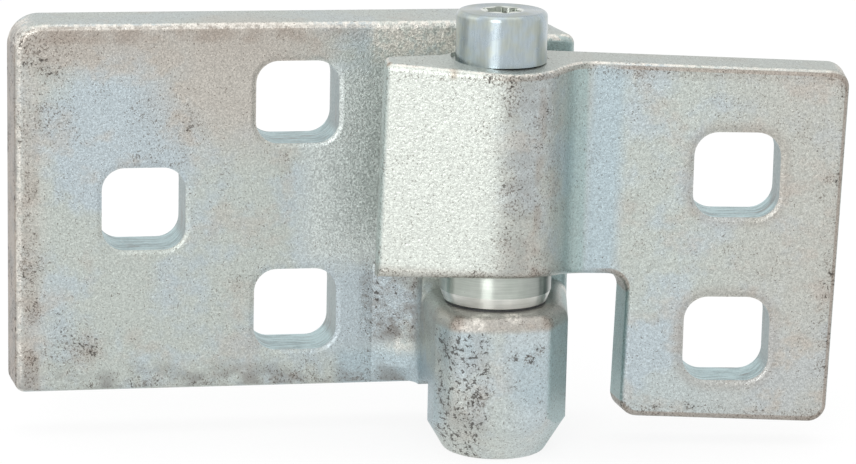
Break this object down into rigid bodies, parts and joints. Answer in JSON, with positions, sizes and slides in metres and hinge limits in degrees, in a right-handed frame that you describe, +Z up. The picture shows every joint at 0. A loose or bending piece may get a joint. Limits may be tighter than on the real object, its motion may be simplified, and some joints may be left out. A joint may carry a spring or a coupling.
{
  "type": "car door hinge",
  "caption": "Forged steel car door hinge: pillar leaf and door leaf with square bolt holes, joined by a collared pin with bushes and a top clamp screw.",
  "frame": {"origin": "on the pillar leaf's mounting face, straight behind the pin and level with the middle of that leaf's bolt holes", "axes": "+Z up along the pin, +Y into the pillar (normal of the mounting face), +X towards the door leaf's free end"},
  "size_m": [0.1195, 0.0305, 0.0642],
  "materials": {
    "pillar_forging": "blue-passivated zinc over a shot-blasted forging, with dark scale pits",
    "door_forging": "blue-passivated zinc over a shot-blasted forging, brighter on the knuckle pad",
    "turned_zinc": "bright zinc over turned steel",
    "screw_zinc": "smooth bright zinc, cold-formed head",
    "bush_polymer": "dark sliding polymer"
  },
  "bodies": {
    "pillar": {"pillar_leaf": "pillar_forging", "upper_bush": "bush_polymer", "lower_bush": "bush_polymer"},
    "door": {"door_leaf": "door_forging", "hinge_pin": "turned_zinc", "clamp_screw": "screw_zinc", "retaining_washer": "turned_zinc"}
  },
  "joints": [
    {"name": "door_swing", "type": "hinge", "parent": "pillar", "child": "door", "pos_m": [0, -0.02, -0.0114], "axis": [0, 0, 1], "range_deg": [-41, 20]}
  ]
}
